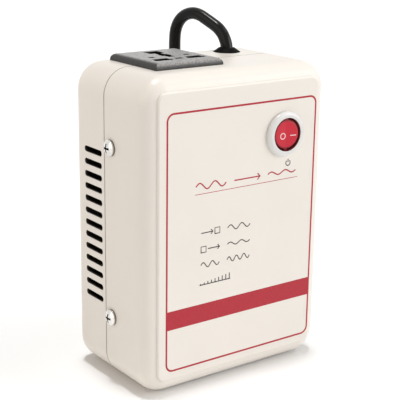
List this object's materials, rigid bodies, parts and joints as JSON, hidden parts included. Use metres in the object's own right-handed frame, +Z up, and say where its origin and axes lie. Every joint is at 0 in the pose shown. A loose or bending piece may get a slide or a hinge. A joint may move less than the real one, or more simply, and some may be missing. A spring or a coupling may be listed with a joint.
{
  "type": "travel voltage converter",
  "caption": "Boxy travel voltage converter: a painted steel case with a multi-standard socket on top, a round rocker switch on its front and a mains lead with a coiled end and plug.",
  "frame": {"origin": "middle of the case's footprint, on the floor under its feet", "axes": "+Z up, -Y out of the front panel, +X to the viewer's right when facing the front"},
  "size_m": [0.1517, 0.1699, 0.1788],
  "materials": {
    "case_paint": "smooth satin paint, ivory",
    "black_plastic": "fine matte texture",
    "cord_black": "satin sheath",
    "foot_rubber": "matte",
    "white_plastic": "glossy",
    "red_plastic": "glossy",
    "screw_steel": "bright plated",
    "plated_steel": "zinc plated",
    "contact_brass": "plain",
    "copper_wire": "enamelled wire",
    "lamination": "varnished sheet edges",
    "bobbin_plastic": "moulded",
    "wrap_tape": "insulating tape",
    "dark_plastic": "moulded",
    "brown_wire": "insulated",
    "blue_wire": "insulated"
  },
  "bodies": {
    "case": {"front_shell": "case_paint", "rear_shell": "case_paint", "case_screws": "screw_steel", "clinch_nuts": "plated_steel", "rubber_feet": "foot_rubber", "socket_plate": "black_plastic", "socket_body": "black_plastic", "live_contact": "contact_brass", "neutral_contact": "contact_brass", "earth_contact": "contact_brass", "switch_housing": "white_plastic", "common_terminal": "contact_brass", "load_terminal": "contact_brass", "core_e": "lamination", "core_i": "lamination", "bobbin": "bobbin_plastic", "common_winding": "copper_wire", "series_winding": "copper_wire", "winding_wrap": "wrap_tape", "core_bolts": "screw_steel", "core_spacers": "plated_steel", "core_nuts": "plated_steel", "thermal_cutout": "dark_plastic", "live_in_wire": "brown_wire", "switched_wire": "brown_wire", "live_out_wire": "brown_wire", "neutral_in_wire": "blue_wire", "neutral_out_wire": "blue_wire", "lead_bushing": "cord_black", "lead_end": "cord_black", "cord_run": "cord_black", "cord_coil": "cord_black", "cord_tail": "cord_black", "coil_tie": "dark_plastic", "plug_body": "cord_black", "plug_pins": "plated_steel"},
    "rocker": {"switch_rocker": "red_plastic", "rocker_plunger": "contact_brass", "rocker_spring": "plated_steel"},
    "lever": {"contact_lever": "contact_brass"}
  },
  "joints": [
    {"name": "rocker_tilt", "type": "hinge", "parent": "case", "child": "rocker", "pos_m": [0.027, -0.033, 0.1231], "axis": [0, 0, 1], "range_deg": [0, 12]},
    {"name": "lever_tilt", "type": "hinge", "parent": "case", "child": "lever", "pos_m": [0.027, -0.0228, 0.1231], "axis": [0, 0, 1], "range_deg": [-9.6, 0]}
  ],
  "couplings": [
    {"joint": "lever_tilt", "follows": "rocker_tilt", "ratio": -0.8}
  ]
}
